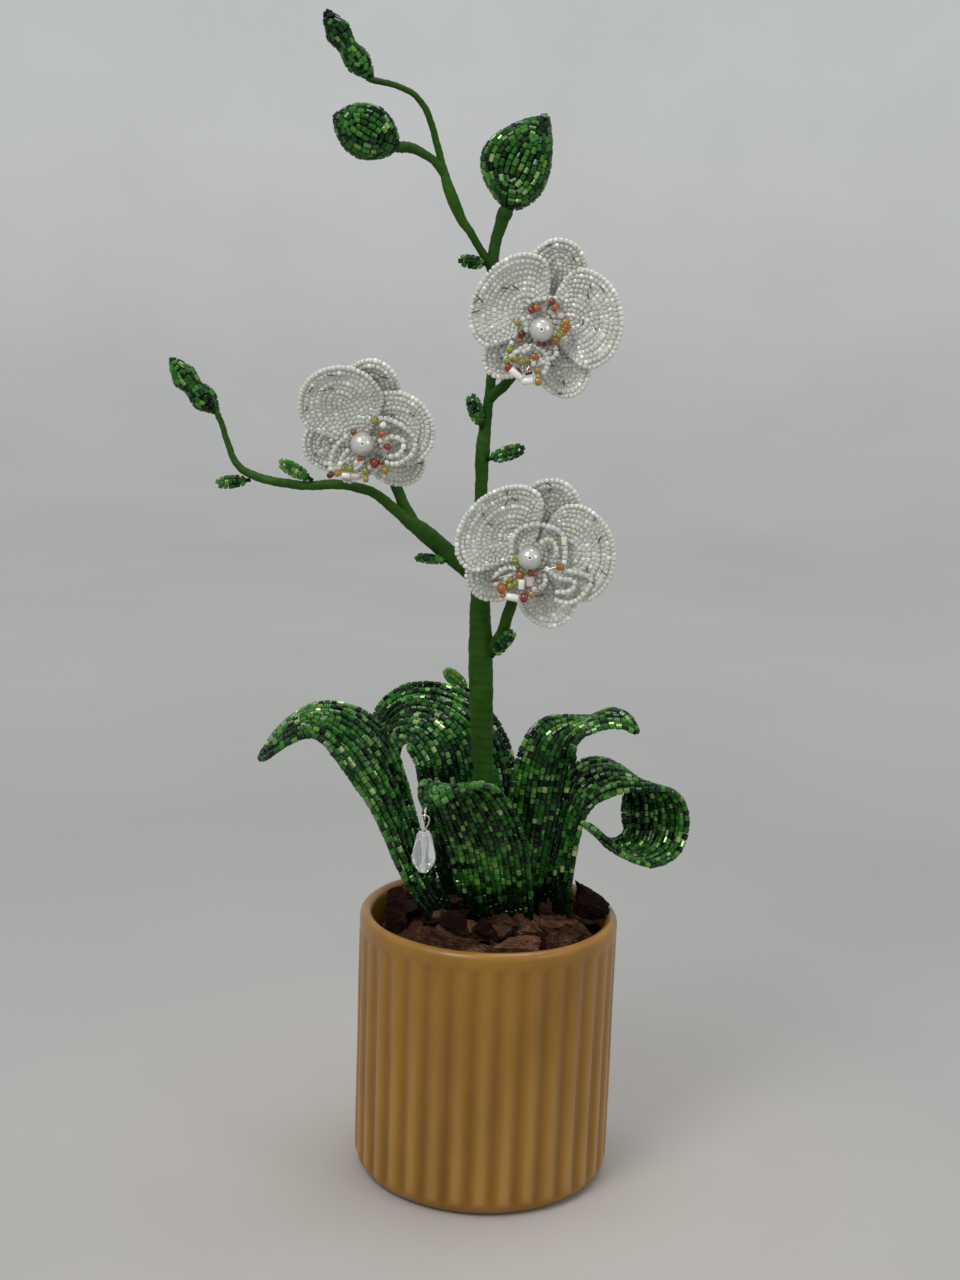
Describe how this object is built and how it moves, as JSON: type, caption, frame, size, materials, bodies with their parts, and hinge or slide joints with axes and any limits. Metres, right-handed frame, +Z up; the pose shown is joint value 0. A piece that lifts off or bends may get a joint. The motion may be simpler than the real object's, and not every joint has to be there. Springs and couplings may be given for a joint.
{
  "type": "beaded orchid in a ceramic pot",
  "caption": "Hand-made beaded orchid on taped wire stems, with arching beaded leaves, buds and a hanging crystal drop, standing in a fluted round ceramic pot filled with bark.",
  "frame": {"origin": "centre of the pot's underside, on the surface it stands on", "axes": "+Z up along the pot's axis; -Y is the front, which the flowers face; +X to the right of someone facing the front"},
  "size_m": [0.1863, 0.0969, 0.3998],
  "materials": {
    "pot_glaze": "satin ochre glaze",
    "plaster_fill": "matte plaster",
    "bark": "matte rough bark",
    "leaf_beads": "gloss green glass beads",
    "leaflet_beads": "gloss green glass beads",
    "bud_beads": "gloss green glass beads",
    "lip_beads": "gloss yellow, orange, red and white glass beads",
    "pearl": "gloss pearl",
    "petal_beads": "gloss clear glass beads",
    "crystal": "polished faceted crystal",
    "silver_wire": "polished wire",
    "floral_tape": "matte crepe tape"
  },
  "bodies": {
    "plant": {"bark_back": "bark", "bark_back_left": "bark", "bark_back_right": "bark", "bark_front_left": "bark", "bark_front_mid": "bark", "bark_front_right": "bark", "bark_left": "bark", "bark_right": "bark", "bud_large": "bud_beads", "bud_left": "bud_beads", "bud_round": "bud_beads", "bud_top": "bud_beads", "drop_eye": "silver_wire", "filler_block": "plaster_fill", "flower_left_lip": "lip_beads", "flower_left_pearl": "pearl", "flower_left_petal_left": "petal_beads", "flower_left_petal_right": "petal_beads", "flower_left_sepal_left": "petal_beads", "flower_left_sepal_right": "petal_beads", "flower_left_sepal_top": "petal_beads", "flower_low_lip": "lip_beads", "flower_low_pearl": "pearl", "flower_low_petal_left": "petal_beads", "flower_low_petal_right": "petal_beads", "flower_low_sepal_left": "petal_beads", "flower_low_sepal_right": "petal_beads", "flower_low_sepal_top": "petal_beads", "flower_top_lip": "lip_beads", "flower_top_pearl": "pearl", "flower_top_petal_left": "petal_beads", "flower_top_petal_right": "petal_beads", "flower_top_sepal_left": "petal_beads", "flower_top_sepal_right": "petal_beads", "flower_top_sepal_top": "petal_beads", "leaf_back": "leaf_beads", "leaf_front": "leaf_beads", "leaf_left": "leaf_beads", "leaf_right_curl": "leaf_beads", "leaf_right_up": "leaf_beads", "leaflet_branch_end": "leaflet_beads", "leaflet_branch_mid": "leaflet_beads", "leaflet_branch_under": "leaflet_beads", "leaflet_lower_left": "leaflet_beads", "leaflet_lower_right": "leaflet_beads", "leaflet_top": "leaflet_beads", "leaflet_upper_left": "leaflet_beads", "leaflet_upper_right": "leaflet_beads", "left_branch": "floral_tape", "left_flower_stalk": "floral_tape", "lower_flower_stalk": "floral_tape", "main_stem": "floral_tape", "pot": "pot_glaze", "round_bud_stalk": "floral_tape", "top_left_branch": "floral_tape", "upper_flower_stalk": "floral_tape"},
    "drop": {"crystal_drop": "crystal", "drop_loop": "silver_wire"}
  },
  "joints": [
    {"name": "drop_swing", "type": "hinge", "parent": "plant", "child": "drop", "pos_m": [-0.0226, -0.0466, 0.1426], "axis": [0, 1, 0], "range_deg": [-30, 30]}
  ]
}
